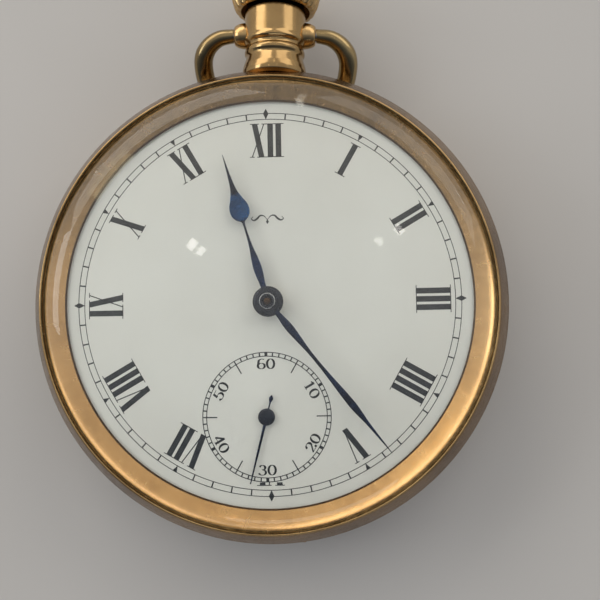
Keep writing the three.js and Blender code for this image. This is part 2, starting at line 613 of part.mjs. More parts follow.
// ---------------------------------------------------------------- assembly
place("case_middle", caseMiddle(), gold);
place("pendant", pendant(), gold);
place("bezel", bezel(), gold);
place("crystal", crystal(), glass);
place("back_cover", backCover(), gold);
place("inner_cover", innerCover(), gold);
place("back_hinge_pin", barrelAlongX(HINGE.back, HINGE.pin, -4.0, 4.0, 10), gold);
place("inner_hinge_pin", barrelAlongX(HINGE.inner, HINGE.pin, -2.8, 2.8, 10), gold);
place("crown", crown(), gold);
place("winding_stem", windingStem(), steel);

// The bow hangs from its pivots, folded back below level behind the case.
const bowMesh = place("bow", bow(), gold);
bowMesh.position.set(0, BOW_PIVOT_Y, STEM_Z);
bowMesh.rotation.x = THREE.MathUtils.degToRad(BOW.fold);

place("dial", dial(), enamel);
turnedHand("hour_hand", hand(HOUR_STATIONS, 10.55, 10.72, 1.57, 1.06, 10.95), HOUR_ANGLE);
turnedHand("minute_hand", hand(MINUTE_STATIONS, 11.3, 11.45, 1.35, 0.68, 11.55), MINUTE_ANGLE);
turnedHand("second_hand", secondHand(), SECOND_ANGLE, FOURTH_AT);

place("cannon_pinion", cannonPinion(), steel);
place("hour_wheel", hourWheel(), brass);
place("minute_wheel", minuteWheel(), brass);
place("setting_wheel", settingWheel(), steel);
place("setting_idler", settingIdler(), steel);

place("main_plate", mainPlate(), nickel);
place("barrel_bridge", barrelBridge(), nickel);
place("train_bridge", trainBridge(), nickel);
place("balance_cock", balanceCock(), nickel);
place("pallet_bridge", palletBridge(), nickel);

place("barrel", barrel(), brass);
place("barrel_lid", barrelLid(), brass);
place("barrel_arbor", barrelArbor(), steel);
place("mainspring", mainspring(), steel);
place("ratchet_wheel", ratchetWheel(), steel);
place("crown_wheel", crownWheel(), steel);
place("click", click(), steel);
place("click_spring", clickSpring(), steel);
place("winding_pinion", windingPinion(), steel);
place("sliding_pinion", slidingPinion(), steel);

place("center_wheel", centreWheel(), brass);
place("third_wheel", thirdWheel(), brass);
place("fourth_wheel", fourthWheel(), brass);
place("escape_wheel", escapeWheel(), steel);
place("pallet_fork", palletFork(), steel);
place("balance_wheel", balanceWheel(), brass);
place("hairspring", hairspring(), bluedSteel);
place("regulator", regulator(), steel);
place("yoke", yoke(), steel);
place("setting_lever", settingLever(), steel);
place("setting_stud", settingStud(), steel);
place("ratchet_screw", screw(BARREL_AT, 1.5, 2.7, 3.2, 3.8, 0.4), bluedSteel);
place("crown_wheel_screw", screw(CROWN_WHEEL_AT, 1.5, 2.7, 3.2, 4.5, 1.1), bluedSteel);
place("click_screw", screw(CLICK_AT, 0.85, 3.04, 3.28, 3.8, 0.9), bluedSteel);
BARREL_BRIDGE_SCREWS.forEach((at, i) => {
  place("barrel_bridge_screw_" + (i + 1), screw(at, 0.95, 3.8, 4.3, 7.3, i + 0.3), bluedSteel);
});
TRAIN_BRIDGE_SCREWS.forEach((at, i) => {
  place("train_bridge_screw_" + (i + 1), screw(at, 0.95, 3.8, 4.3, 7.3, i + 0.8), bluedSteel);
});
place("cock_screw", screw(COCK_FOOT_AT, 1.2, 2.55, 3.0, 3.04, 0.5), bluedSteel);
place("jewel_third", jewel(THIRD_AT, 3.95, 4.6), ruby);
place("jewel_fourth", jewel(FOURTH_AT, 3.95, 4.6), ruby);
place("jewel_escape", jewel(ESCAPE_AT, 3.95, 4.6), ruby);
place("jewel_balance", jewel(BALANCE_AT, 3.0, 3.7), ruby);

export default watch;
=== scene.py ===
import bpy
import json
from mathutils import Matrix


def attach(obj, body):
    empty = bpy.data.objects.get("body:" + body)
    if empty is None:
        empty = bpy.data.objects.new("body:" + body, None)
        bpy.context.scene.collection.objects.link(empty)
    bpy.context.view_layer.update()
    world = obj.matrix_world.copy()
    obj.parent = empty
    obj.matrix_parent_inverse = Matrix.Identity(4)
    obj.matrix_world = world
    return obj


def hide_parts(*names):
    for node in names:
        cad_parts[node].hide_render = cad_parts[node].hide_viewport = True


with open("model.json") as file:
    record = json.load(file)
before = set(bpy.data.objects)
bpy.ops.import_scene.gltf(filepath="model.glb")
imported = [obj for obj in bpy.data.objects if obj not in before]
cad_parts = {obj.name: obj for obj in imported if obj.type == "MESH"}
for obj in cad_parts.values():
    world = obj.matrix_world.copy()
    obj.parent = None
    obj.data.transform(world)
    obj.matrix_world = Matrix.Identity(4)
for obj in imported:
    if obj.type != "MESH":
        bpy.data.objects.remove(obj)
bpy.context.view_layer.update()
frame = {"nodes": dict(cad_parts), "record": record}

import json
import math

import bmesh
import bpy
from mathutils import Matrix, Vector

# The looks of an open-face pocket watch. Sizes are in millimetres in the part's frame: +Z out of the
# dial, +Y to the pendant, origin on the flat of the back. MM takes them to Blender's metres.
MM = 0.001
DIAL_TURN = math.radians(1.8)  # the dial sits this far anticlockwise of the pendant
DIAL_TOP = 9.7
STEM_Z = 7.0
PIVOT_Y = 29.45
BOW_FOLD = math.radians(31.8)  # how far the bow hangs below level
BACK_HINGE = (-24.75, 5.3)  # y and z of each cover's hinge, which runs along X
INNER_HINGE = (-21.5, 5.2)
FOURTH = Vector((0, -11.8, 0))
ROUND = 224  # segments of a case-sized ring
TO_STEM = Matrix.Translation((0, 0, STEM_Z)) @ Matrix.Rotation(-math.pi / 2, 4, "X")  # Z becomes +Y
ON_DIAL = Matrix.Rotation(DIAL_TURN, 4, "Z")
PIVOT = Matrix.Translation((0, PIVOT_Y, STEM_Z))


# ---------------------------------------------------------------- materials
def new_material(name):
    material = bpy.data.materials.new(name)
    material.use_nodes = True
    tree = material.node_tree
    shader = tree.nodes["Principled BSDF"]
    return material, tree, shader


def add_node(tree, kind, inputs=None, **settings):
    node = tree.nodes.new(kind)
    for key, value in settings.items():
        setattr(node, key, value)
    for key, value in (inputs or {}).items():
        if isinstance(value, bpy.types.NodeSocket):
            tree.links.new(value, node.inputs[key])
        else:
            node.inputs[key].default_value = value
    return node


def object_coords(tree, scale=(1, 1, 1)):
    coords = add_node(tree, "ShaderNodeTexCoord")
    mapping = add_node(tree, "ShaderNodeMapping", {"Vector": coords.outputs["Object"], "Scale": scale})
    return mapping.outputs["Vector"]


def noise(tree, coords, scale, detail=4.0, roughness=0.55):
    inputs = {"Vector": coords, "Scale": scale, "Detail": detail, "Roughness": roughness}
    return add_node(tree, "ShaderNodeTexNoise", inputs).outputs["Fac"]


def remap(tree, value, low, high, start=0.3, end=0.7):
    inputs = {"Value": value, "From Min": start, "From Max": end, "To Min": low, "To Max": high}
    return add_node(tree, "ShaderNodeMapRange", inputs).outputs["Result"]


def mix_color(tree, factor, first, second):
    node = add_node(tree, "ShaderNodeMix", data_type="RGBA")
    for socket, value in zip((node.inputs[0], node.inputs[6], node.inputs[7]), (factor, first, second)):
        if isinstance(value, bpy.types.NodeSocket):
            tree.links.new(value, socket)
        else:
            socket.default_value = value
    return node.outputs[2]


def bump(tree, shader, heights):
    """Chains bump nodes, each (height socket, strength, distance in mm), into the shader's normal."""
    normal = None
    for height, strength, distance in heights:
        inputs = {"Height": height, "Strength": strength, "Distance": distance * MM}
        node = add_node(tree, "ShaderNodeBump", inputs)
        if normal:
            tree.links.new(normal, node.inputs["Normal"])
        normal = node.outputs["Normal"]
    tree.links.new(normal, shader.inputs["Normal"])


def metal(name, color, tarnish, rough=(0.16, 0.34), blotch=90, grain=None, scratch=0.12, wear=0.5):
    """A worn metal: tarnish in blotches, roughness that varies, fine scratches and maybe a lathe grain."""
    material, tree, shader = new_material(name)
    shader.inputs["Metallic"].default_value = 1.0
    coords = object_coords(tree)
    patches = noise(tree, coords, blotch, 5.0, 0.6)
    factor = remap(tree, patches, 0.0, wear, 0.42, 0.72)
    tree.links.new(mix_color(tree, factor, (*color, 1), (*tarnish, 1)), shader.inputs["Base Color"])
    fine = noise(tree, coords, 900, 6.0, 0.7)
    tree.links.new(remap(tree, fine, rough[0], rough[1]), shader.inputs["Roughness"])
    heights = []
    for stretch in ((9000, 500, 800), (600, 8000, 900)):
        lines = noise(tree, object_coords(tree, stretch), 1.0, 2.0, 0.5)
        heights.append((remap(tree, lines, 0, 1, 0.62, 0.74), scratch, 0.004))
    heights.append((noise(tree, coords, 260, 3.0, 0.5), 0.1, 0.02))
    if grain:
        heights.append((grain(tree), 0.25, 0.01))
    bump(tree, shader, heights)
    return material


def turned_grain(scale=3500):
    """Fine rings about Z, as a lathe leaves them."""
    def build(tree):
        inputs = {"Vector": object_coords(tree), "Scale": scale, "Distortion": 0.4, "Detail": 2.0}
        settings = {"wave_type": "RINGS", "rings_direction": "Z"}
        return add_node(tree, "ShaderNodeTexWave", inputs, **settings).outputs["Fac"]
    return build


def stripes(scale=180):
    """Broad polished stripes, as on a finished bridge."""
    def build(tree):
        inputs = {"Vector": object_coords(tree, (1, 0.45, 1)), "Scale": scale, "Distortion": 0.0}
        settings = {"wave_type": "BANDS", "bands_direction": "DIAGONAL", "wave_profile": "SAW"}
        return add_node(tree, "ShaderNodeTexWave", inputs, **settings).outputs["Fac"]
    return build


def enamel_material():
    material, tree, shader = new_material("enamel")
    coords = object_coords(tree)
    cloud = remap(tree, noise(tree, coords, 60, 3.0), 0.0, 1.0, 0.35, 0.7)
    base = mix_color(tree, cloud, (0.87, 0.865, 0.84, 1), (0.81, 0.80, 0.77, 1))
    specks = remap(tree, noise(tree, coords, 1500, 4.0, 0.7), 0.0, 0.35, 0.70, 0.78)
    tree.links.new(mix_color(tree, specks, base, (0.33, 0.25, 0.15, 1)), shader.inputs["Base Color"])
    tree.links.new(remap(tree, noise(tree, coords, 500), 0.3, 0.42), shader.inputs["Roughness"])
    bump(tree, shader, [(noise(tree, coords, 220, 2.0), 0.08, 0.05)])
    return material


def ink_material():
    material, tree, shader = new_material("dial_ink")
    coords = object_coords(tree)
    worn = remap(tree, noise(tree, coords, 1300, 5.0, 0.7), 0.0, 1.0, 0.35, 0.75)
    color = mix_color(tree, worn, (0.012, 0.013, 0.016, 1), (0.045, 0.048, 0.052, 1))
    tree.links.new(color, shader.inputs["Base Color"])
    tree.links.new(remap(tree, noise(tree, coords, 700), 0.35, 0.5), shader.inputs["Roughness"])
    bump(tree, shader, [(noise(tree, coords, 2500, 2.0), 0.15, 0.004)])
    return material


def blued_material(name, dark, light):
    material, tree, shader = new_material(name)
    shader.inputs["Metallic"].default_value = 1.0
    coords = object_coords(tree)
    patches = remap(tree, noise(tree, coords, 320, 3.0), 0.0, 1.0, 0.4, 0.65)
    color = mix_color(tree, patches, (*dark, 1), (*light, 1))
    tree.links.new(color, shader.inputs["Base Color"])
    tree.links.new(remap(tree, noise(tree, coords, 1200), 0.16, 0.34), shader.inputs["Roughness"])
    bump(tree, shader, [(noise(tree, coords, 1800, 4.0), 0.12, 0.006)])
    return material


def glass_material():
    """Clear glass that lets light through to the dial, with hairline scratches."""
    material, tree, shader = new_material("crystal_glass")
    shader.inputs["Base Color"].default_value = (0.95, 0.97, 0.955, 1)
    shader.inputs["Transmission Weight"].default_value = 1.0
    shader.inputs["IOR"].default_value = 1.5
    shader.inputs["Roughness"].default_value = 0.02
    shader.inputs["Coat Weight"].default_value = 0.04
    shader.inputs["Coat Roughness"].default_value = 0.22
    heights = []
    for stretch in ((5200, 260, 300), (300, 4700, 300), (2600, 2400, 300)):
        lines = noise(tree, object_coords(tree, stretch), 1.0, 1.0, 0.5)
        heights.append((remap(tree, lines, 0, 1, 0.66, 0.76), 0.05, 0.003))
    bump(tree, shader, heights)
    clear = add_node(tree, "ShaderNodeBsdfTransparent", {"Color": (0.95, 0.97, 0.96, 1)})
    path = add_node(tree, "ShaderNodeLightPath")
    mixed = add_node(tree, "ShaderNodeMixShader", {0: path.outputs["Is Shadow Ray"]})
    tree.links.new(shader.outputs[0], mixed.inputs[1])
    tree.links.new(clear.outputs[0], mixed.inputs[2])
    tree.links.new(mixed.outputs[0], tree.nodes["Material Output"].inputs["Surface"])
    return material


def ruby_material():
    material, tree, shader = new_material("ruby")
    coords = object_coords(tree)
    depth = remap(tree, noise(tree, coords, 900, 2.0), 0.0, 1.0)
    color = mix_color(tree, depth, (0.42, 0.01, 0.05, 1), (0.7, 0.04, 0.12, 1))
    tree.links.new(color, shader.inputs["Base Color"])
    tree.links.new(remap(tree, noise(tree, coords, 2000), 0.04, 0.12), shader.inputs["Roughness"])
    bump(tree, shader, [(noise(tree, coords, 1500, 2.0), 0.05, 0.004)])
    return material


def floor_material():
    material, tree, shader = new_material("pale_floor")
    coords = object_coords(tree)
    cloud = remap(tree, noise(tree, coords, 14, 3.0), 0.0, 1.0)
    color = mix_color(tree, cloud, (0.60, 0.59, 0.57, 1), (0.66, 0.65, 0.63, 1))
    tree.links.new(color, shader.inputs["Base Color"])
    shader.inputs["Roughness"].default_value = 0.7
    bump(tree, shader, [(noise(tree, coords, 1400, 2.0), 0.1, 0.05)])
    return material


# Each metal: its clean colour, its tarnish and the range of its roughness. Some clean colours below carry
# painted shade, a painted dark reflection or a painted sheen, as noted.
GOLD = metal("gold", (0.60, 0.40, 0.18), (0.24, 0.14, 0.06), (0.14, 0.30), wear=0.6)
BAND_GOLD = metal(
    "gold_band", (0.82, 0.48, 0.205), (0.50, 0.285, 0.12), (0.17, 0.30), blotch=170, scratch=0.25, wear=0.7,
)
# The outer slope's gold, made far darker than the gold itself: a painted dark reflection, as if the slope
# mirrored a dark floor.
DARK_REFLECTION_GOLD = metal("gold_painted_dark_reflection", (0.27, 0.155, 0.06), (0.10, 0.05, 0.02), (0.18, 0.34), wear=0.8)
# Near-black gold is painted shade: the dark line where the bezel's inner wall meets the dial, and the dark
# end of the arbor sunk in the cannon tube.
SHADE_GOLD = metal("gold_painted_shade", (0.09, 0.05, 0.025), (0.04, 0.022, 0.012), (0.35, 0.55))
# The bow's gold is darkened below the gold itself: a painted dark reflection, as if the wire mirrored dark
# surroundings.
BOW_REFLECTION_GOLD = metal("gold_bow_painted_reflection", (0.40, 0.30, 0.15), (0.20, 0.135, 0.062), (0.12, 0.26), wear=0.8)
# The neck's gold is darkened below the gold itself: a painted dark reflection of dark surroundings.
NECK_REFLECTION_GOLD = metal("gold_neck_painted_reflection", (0.46, 0.31, 0.14), (0.20, 0.105, 0.045), (0.10, 0.24), scratch=0.18, wear=0.8)
INSIDE_GOLD = metal("gold_inside", (0.82, 0.60, 0.30), (0.60, 0.40, 0.18), (0.10, 0.22), grain=turned_grain())
BRASS = metal("gilt_brass", (0.83, 0.62, 0.30), (0.62, 0.42, 0.18), (0.20, 0.36), grain=turned_grain(5200))
NICKEL = metal("nickel", (0.66, 0.63, 0.56), (0.50, 0.46, 0.38), (0.20, 0.34), grain=stripes())
STEEL = metal("steel", (0.52, 0.53, 0.55), (0.34, 0.33, 0.32), (0.14, 0.30), grain=turned_grain(4500))
BLUED = blued_material("blued_steel", (0.010, 0.014, 0.03), (0.015, 0.032, 0.09))
# A lighter copy of the blued steel: a painted sheen, used on the hour hand's bulb.
SHEEN_BLUED = blued_material("blued_painted_sheen", (0.018, 0.05, 0.13), (0.03, 0.12, 0.30))
CHARCOAL = blued_material("charcoal_steel", (0.022, 0.024, 0.03), (0.05, 0.055, 0.07))
ENAMEL = enamel_material()
INK = ink_material()
GLASS = glass_material()
RUBY = ruby_material()


# ---------------------------------------------------------------- shapes
def piece(name, verts, faces, material, placing=Matrix.Identity(4), smooth=35):
    """A mesh object from vertices in millimetres, shaded smooth except across sharp edges."""
    mesh = bpy.data.meshes.new(name)
    mesh.from_pydata([(placing @ Vector(v)) * MM for v in verts], [], faces)
    mesh.materials.append(material)
    shape = bmesh.new()
    shape.from_mesh(mesh)
    bmesh.ops.remove_doubles(shape, verts=shape.verts, dist=1e-8)
    bmesh.ops.recalc_face_normals(shape, faces=shape.faces)
    shape.to_mesh(mesh)
    shape.free()
    mesh.shade_smooth()
    mesh.set_sharp_from_angle(angle=math.radians(smooth))
    made = bpy.data.objects.new(name, mesh)
    bpy.context.scene.collection.objects.link(made)
    return made


def fillet(profile, radius, closed=True, steps=4):
    """Rounds the corners of a section by a small curve that starts radius away from each corner."""
    points = [Vector(p) for p in profile]
    result = []
    for i, corner in enumerate(points):
        if not closed and i in (0, len(points) - 1):
            result.append(corner)
            continue
        before, after = points[i - 1] - corner, points[(i + 1) % len(points)] - corner
        if before.length < 1e-6 or after.length < 1e-6:
            continue
        if (-before).angle(after) < math.radians(8):
            result.append(corner)
            continue
        a = corner + before.normalized() * min(radius, before.length * 0.42)
        b = corner + after.normalized() * min(radius, after.length * 0.42)
        for k in range(steps + 1):
            t = k / steps
            result.append(a * (1 - t) ** 2 + corner * 2 * t * (1 - t) + b * t * t)
    return [tuple(p) for p in result]


def smooth_curve(points, steps=6):
    """A Catmull-Rom curve through the points."""
    vectors = [Vector(p) for p in points]
    ends = [vectors[0] * 2 - vectors[1], *vectors, vectors[-1] * 2 - vectors[-2]]
    result = []
    for i in range(1, len(ends) - 2):
        a, b, c, d = ends[i - 1:i + 3]
        for k in range(steps):
            t = k / steps
            step = (c - a) * t + (a * 2 - b * 5 + c * 4 - d) * t * t + (b * 3 - a - c * 3 + d) * t ** 3
            result.append(tuple(b + step * 0.5))
    return [*result, tuple(vectors[-1])]


def turned(profile, segments=ROUND, ripple=None):
    """Vertices and faces of a section turned about Z. Ends on the axis close in a point, others go round."""
    on_axis = profile[0][0] < 1e-6 and profile[-1][0] < 1e-6
    rows, verts, faces = [], [], []
    for r, z in profile:
        if r < 1e-6:
            rows.append([len(verts)] * segments)
            verts.append((0, 0, z))
            continue
        rows.append(list(range(len(verts), len(verts) + segments)))
        for i in range(segments):
            a = 2 * math.pi * i / segments
            radius = r + (ripple(a, r, z) if ripple else 0)
            verts.append((radius * math.cos(a), radius * math.sin(a), z))
    pairs = list(zip(rows, rows[1:])) + ([] if on_axis else [(rows[-1], rows[0])])
    for low, high in pairs:
        for i in range(segments):
            j = (i + 1) % segments
            corners = list(dict.fromkeys([low[i], low[j], high[j], high[i]]))
            if len(corners) > 2:
                faces.append(corners)
    return verts, faces


def lathe(
    name, profile, material, round_by=0.12, placing=Matrix.Identity(4),
    segments=ROUND, ripple=None, smooth=35,
):
    """A turned piece whose section's corners are rounded; a ripple changes the radius round the turn."""
    closed = not (profile[0][0] < 1e-6 and profile[-1][0] < 1e-6)
    section = fillet(profile, round_by, closed) if round_by else profile
    return piece(name, *turned(section, segments, ripple), material, placing, smooth)


def join(first, *others):
    """Adds the others' meshes to the first piece, so that they are one object."""
    shape = bmesh.new()
    materials = []
    for each in (first, *others):
        start = len(shape.faces)
        shape.from_mesh(each.data)
        shape.faces.ensure_lookup_table()
        for face in shape.faces[start:]:
            material = each.data.materials[face.material_index]
            if material not in materials:
                materials.append(material)
            face.material_index = materials.index(material)
    first.data.materials.clear()
    for material in materials:
        first.data.materials.append(material)
    shape.to_mesh(first.data)
    shape.free()
    for each in others:
        bpy.data.objects.remove(each)
    return first


def slabs(outlines, low, high):
    """Vertices and faces of flat outlines raised from low to high."""
    verts, faces = [], []
    for outline in outlines:
        n, start = len(outline), len(verts)
        verts += [(x, y, low) for x, y in outline] + [(x, y, high) for x, y in outline]
        faces.append([start + i for i in reversed(range(n))])
        faces.append([start + n + i for i in range(n)])
        for i in range(n):
            j = (i + 1) % n
            faces.append([start + i, start + j, start + n + j, start + n + i])
    return verts, faces


def tube(path, radii, sides=28):
    """Vertices and faces of a round bar along a path, closed at both ends."""
    points = [Vector(p) for p in path]
    verts, faces = [], []
    up = Vector((0, 0, 1))
    for i, point in enumerate(points):
        along = (points[min(i + 1, len(points) - 1)] - points[max(i - 1, 0)]).normalized()
        side = along.cross(up)
        side = side.normalized() if side.length > 1e-4 else Vector((1, 0, 0))
        top = side.cross(along).normalized()
        for k in range(sides):
            a = 2 * math.pi * k / sides
            verts.append(tuple(point + (side * math.cos(a) + top * math.sin(a)) * radii[i]))
    for i in range(len(points) - 1):
        for k in range(sides):
            j = (k + 1) % sides
            faces.append([i * sides + k, i * sides + j, (i + 1) * sides + j, (i + 1) * sides + k])
    faces.append(list(reversed(range(sides))))
    faces.append([(len(points) - 1) * sides + k for k in range(sides)])
    return verts, faces


def cylinder_x(name, y, z, radius, x0, x1, material, sides=32):
    placing = Matrix.Translation((0, y, z)) @ Matrix.Rotation(math.pi / 2, 4, "Y")
    section = [(0, x0), (radius, x0), (radius, x1), (0, x1)]
    return lathe(name, section, material, 0.08, placing, sides)


def box_piece(name, x, y, z, material, placing=Matrix.Identity(4)):
    outline = [(x[0], y[0]), (x[1], y[0]), (x[1], y[1]), (x[0], y[1])]
    return piece(name, *slabs([outline], z[0], z[1]), material, placing)


def soften(thing, width, segments=2, angle=30):
    modifier = thing.modifiers.new("soft_edges", "BEVEL")
    modifier.width = width * MM
    modifier.segments = segments
    modifier.limit_method = "ANGLE"
    modifier.angle_limit = math.radians(angle)
    modifier.harden_normals = True
    return thing


def cut_away(thing, *tools):
    for tool in tools:
        modifier = thing.modifiers.new("cut", "BOOLEAN")
        modifier.operation = "DIFFERENCE"
        modifier.solver = "EXACT"
        modifier.object = tool
    bpy.context.view_layer.update()
    evaluated = thing.evaluated_get(bpy.context.evaluated_depsgraph_get())
    result = bpy.data.meshes.new_from_object(evaluated)
    thing.modifiers.clear()
    old = thing.data
    thing.data = result
    bpy.data.meshes.remove(old)
    for tool in tools:
        bpy.data.objects.remove(tool)
    thing.data.set_sharp_from_angle(angle=math.radians(35))
    return thing


def stands_for(made, body, slot, *nodes):
    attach(made, body)
    if nodes:
        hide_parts(*nodes)
    return made


# ---------------------------------------------------------------- case
def back_height(r):
    share = max(0.0, (r - 8) / 16.6)
    return 5.9 * share ** 2.6


def build_bezel():
    outer = [
        (23.90, 8.42), (24.80, 8.42), (24.99, 8.50), (24.99, 8.80), (24.86, 9.02), (24.62, 9.55),
        (24.25, 10.30), (23.85, 11.05), (23.62, 11.50), (23.50, 11.68), (23.36, 11.68), (23.26, 11.55),
        (23.24, 11.30), (23.30, 11.14), (23.18, 11.02), (22.95, 10.96), (22.6, 10.68), (21.3, 10.09),
        (21.13, 10.01), (20.99, 9.94), (20.96, 9.87), (23.85, 9.87), (23.85, 8.60),
    ]
    bezel = lathe("bezel_ring", outer, GOLD, 0.05)
    bezel.data.materials.append(BAND_GOLD)
    bezel.data.materials.append(DARK_REFLECTION_GOLD)
    bezel.data.materials.append(SHADE_GOLD)
    # Faces by radius: the bezel's inner wall takes painted shade, the upward band the bright gold, the outer
    # slope the painted dark reflection.
    for face in bezel.data.polygons:
        r = math.hypot(face.center.x, face.center.y) / MM
        # The inner wall gets painted shade, a dark contact line at the dial's edge.
        if r < 21.14:
            face.material_index = 3
        elif r < 23.1 and face.normal.z > 0.5:
            face.material_index = 1
        elif r > 23.55:
            face.material_index = 2
    stands_for(bezel, "case", "gold", "bezel")


def build_crystal():
    top = [(23.02, 11.32), (22.86, 11.72), (22.45, 12.18), (21.8, 12.56), (20.9, 12.84), (19.4, 13.08)]
    dome = [(r, 13.86 - 0.78 * (r / 19.4) ** 2) for r in (16.5, 13.5, 10, 6.5, 3, 0)]
    under = [(r, 12.72 - 1.12 * (r / 20.2) ** 2.2) for r in (0, 3, 6.5, 10, 13.5, 16.5, 19, 20.2)]
    edge = [(21.2, 11.38), (22.2, 11.14), (22.9, 11.06), (23.02, 11.12)]
    section = [*smooth_curve(under, 3), *smooth_curve([*edge, *top, *dome], 3)]
    crystal = lathe("crystal_glass", section, GLASS, 0)
    stands_for(crystal, "case", "crystal", "crystal")


def build_middle():
    section = [
        (21.05, 5.98), (24.35, 5.98), (24.58, 6.12), (24.62, 6.35), (24.48, 6.50), (24.66, 6.72),
        (24.74, 7.1), (24.66, 7.55), (24.48, 7.76), (24.62, 7.92), (24.58, 8.14), (24.35, 8.28),
        (23.62, 8.28), (23.62, 8.93), (21.05, 8.93),
    ]
    middle = lathe("case_band", section, GOLD, 0.07)
    reliefs = [
        cylinder_x("relief", *BACK_HINGE, 0.96, -2.7, 2.7, GOLD),
        cylinder_x("relief", *INNER_HINGE, 0.72, -1.6, 1.6, GOLD),
        lathe("relief", [(0, 18), (1.75, 18), (1.75, 24.2), (0, 24.2)], GOLD, 0, TO_STEM, 32),
    ]
    cut_away(middle, *reliefs)
    parts = []
    for x0, x1 in ((-4.1, -2.8), (2.8, 4.1)):
        parts.append(cylinder_x("lug", *BACK_HINGE, 0.8, x0, x1, GOLD))
        parts.append(box_piece("lug", (x0, x1), (-24.72, -24.1), (5.3, 6.3), GOLD))
    for x0, x1 in ((-2.9, -1.7), (1.7, 2.9)):
        parts.append(cylinder_x("lug", *INNER_HINGE, 0.55, x0, x1, GOLD))
        parts.append(box_piece("lug", (x0, x1), (-21.85, -21.15), (5.2, 6.2), GOLD))
    stands_for(join(middle, *parts), "case", "gold", "case_middle")


def build_back():
    outside = [(r, back_height(r)) for r in (0, 4, 8, 10, 12, 14, 16, 18, 19.5, 21, 22.3, 23.3, 24.1, 24.52)]
    rim = [(24.60, 5.74), (24.52, 5.85), (23.95, 5.85), (23.9, 5.5)]
    inside = [(r, back_height(r) + 0.5) for r in (22.3, 20.8, 19.3, 17.5, 15.5, 13.5, 11.5, 9.5, 8, 4, 0)]
    back = lathe("back_shell", [*outside, *rim, *inside], GOLD, 0.05)
    back.data.materials.append(INSIDE_GOLD)
    for face in back.data.polygons:
        if face.normal.z > 0.3 and face.center.length < 23.6 * MM:
            face.material_index = 1
    reliefs = [
        cylinder_x("relief", *BACK_HINGE, 0.95, x0, x1, GOLD)
        for x0, x1 in ((-4.3, -2.65), (2.65, 4.3))
    ]
    cut_away(back, *reliefs)
    knuckle = cylinder_x("knuckle", *BACK_HINGE, 0.8, -2.55, 2.55, GOLD)
    turn = Matrix.Rotation(-0.62, 4, "Z")
    lip_outline = smooth_curve([
        (-1.5, 24.2), (-1.35, 24.9), (-0.7, 25.3), (0, 25.4), (0.7, 25.3), (1.35, 24.9), (1.5, 24.2),
    ])
    lip = piece("lip", *slabs([lip_outline], 5.45, 5.78), GOLD, turn)
    stands_for(soften(join(back, knuckle, lip), 0.04), "back", "gold", "back_cover")


def build_inner_cover():
    lift = 0.8  # height of the cover above the back
    under = [(r, back_height(r) + lift) for r in (0, 4, 8, 10, 12, 14, 16, 18, 20)]
    rim = [(22.24, 5.46), (22.3, 5.7), (22.1, 5.8), (21.6, 5.8), (21.4, 5.6)]
    upper = [(r, back_height(r) + lift + 0.4) for r in (19.8, 18, 16, 14, 12, 10, 8, 4, 0)]
    cover = lathe("inner_shell", [*under, *rim, *upper], INSIDE_GOLD, 0.05)
    tools = [box_piece("relief", xs, (-24, -20.75), (4.0, 6.4), GOLD) for xs in ((-8, -1.5), (1.5, 8))]
    cut_away(cover, *tools)
    knuckle = cylinder_x("knuckle", *INNER_HINGE, 0.55, -1.4, 1.4, GOLD)
    stands_for(soften(join(cover, knuckle), 0.03), "inner_back", "gold", "inner_cover")


def build_pendant():
    neck = [
        (0, 24.45), (3.1, 24.45), (3.46, 24.75), (3.5, 25.2), (3.4, 25.8), (3.22, 26.35), (3.1, 26.75),
        (3.14, 26.95), (3.28, 27.15), (3.3, 27.45), (3.2, 27.65), (3.08, 27.85), (3.1, 28.15), (3.3, 28.3),
        (3.44, 28.45), (3.42, 28.7), (3.34, 29.0), (3.34, 31.9), (3.2, 32.15), (3.2, 32.95), (2.9, 33.15),
        (1.7, 33.15), (1.6, 33.0), (1.6, 24.8), (1.3, 24.7), (0, 24.7),
    ]
    # The neck's darker gold is a painted dark reflection.
    body = lathe("pendant_neck", neck, NECK_REFLECTION_GOLD, 0.1, TO_STEM, 128)
    balls = []
    for side in (-1, 1):
        curve = [
            (0, 2.4), (1.18, 2.5), (1.36, 3.0), (1.38, 3.35), (1.28, 3.9), (1.1, 4.3), (0.92, 4.46),
            (0.5, 4.48), (0, 4.4),
        ]
        turn = PIVOT @ Matrix.Rotation(side * math.pi / 2, 4, "Y")
        balls.append(lathe("pivot_ball", curve, GOLD, 0.16, turn, 64))
    stands_for(join(body, *balls), "case", "gold", "pendant")


def bow_path():
    """Points of the bow's wire as (sideways, outward) from the pivots, from one end to the other."""
    half, shoulder, start = 8.1, 3.0, 4.75
    line = [(4.55, 0), (4.75, 0.02)]
    for i in (1, 2, 3):
        turn = i * math.pi / 8
        line.append((start + (half - start) * math.sin(turn), shoulder * (1 - math.cos(turn))))
    for i in range(8):
        a = i * math.pi / 16
        line.append((half * math.cos(a), shoulder + half * math.sin(a)))
    return [*line, (0, shoulder + half), *[(-x, s) for x, s in reversed(line)]]


def build_bow():
    path = smooth_curve([(x, -s, 0) for x, s in bow_path()], 5)
    reach = [0]
    for a, b in zip(path, path[1:]):
        reach.append(reach[-1] + (Vector(b) - Vector(a)).length)
    total = reach[-1]
    radii = []
    for s in reach:
        end = min(s, total - s)
        radii.append(0.74 + 0.30 * min(1, end / 4.0))
    placing = PIVOT @ Matrix.Rotation(BOW_FOLD, 4, "X")
    # The wire's darker gold is a painted dark reflection.
    bow = piece("bow_ring_wire", *tube(path, radii, 36), BOW_REFLECTION_GOLD, placing)
    pin_section = [(0, 3.95), (0.6, 3.95), (0.6, 4.9), (0, 4.9)]
    pins = [
        lathe("pin", pin_section, STEEL, 0.06, PIVOT @ Matrix.Rotation(side * math.pi / 2, 4, "Y"), 32)
        for side in (-1, 1)
    ]
    stands_for(join(bow, *pins), "bow_ring", "gold", "bow")


